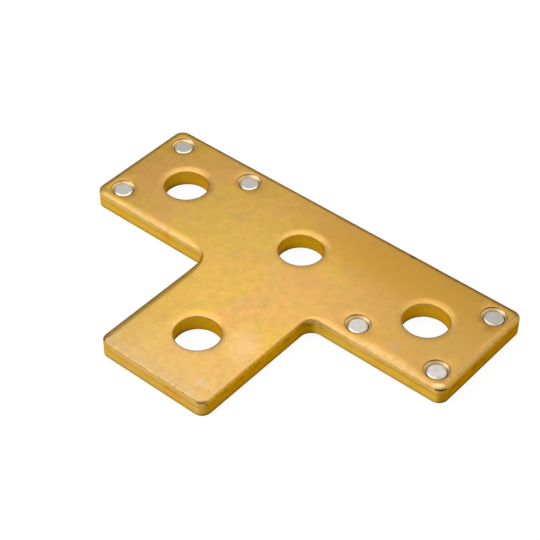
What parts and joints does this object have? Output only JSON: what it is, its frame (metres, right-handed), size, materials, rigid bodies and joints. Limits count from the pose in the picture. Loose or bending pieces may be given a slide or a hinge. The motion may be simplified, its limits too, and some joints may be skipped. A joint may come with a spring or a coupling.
{
  "type": "tee joining plate",
  "caption": "Flat tee-shaped steel plate that bolts framing members together, with round inserts set in its bar.",
  "frame": {"origin": "on the axis of the bar's middle bolt hole, on the plate's underside", "axes": "+X along the bar, -Y down the stem, +Z out of the punched upper face"},
  "size_m": [0.1368, 0.0886, 0.006],
  "materials": {
    "yellow_zinc_steel": "satin yellow zinc plating",
    "bright_insert": "smooth silvery metal"
  },
  "bodies": {
    "root": {"tee_plate": "yellow_zinc_steel", "insert_left_outer_front": "bright_insert", "insert_left_outer_back": "bright_insert", "insert_left_inner_back": "bright_insert", "insert_right_inner_front": "bright_insert", "insert_right_outer_front": "bright_insert", "insert_right_outer_back": "bright_insert"}
  },
  "joints": []
}
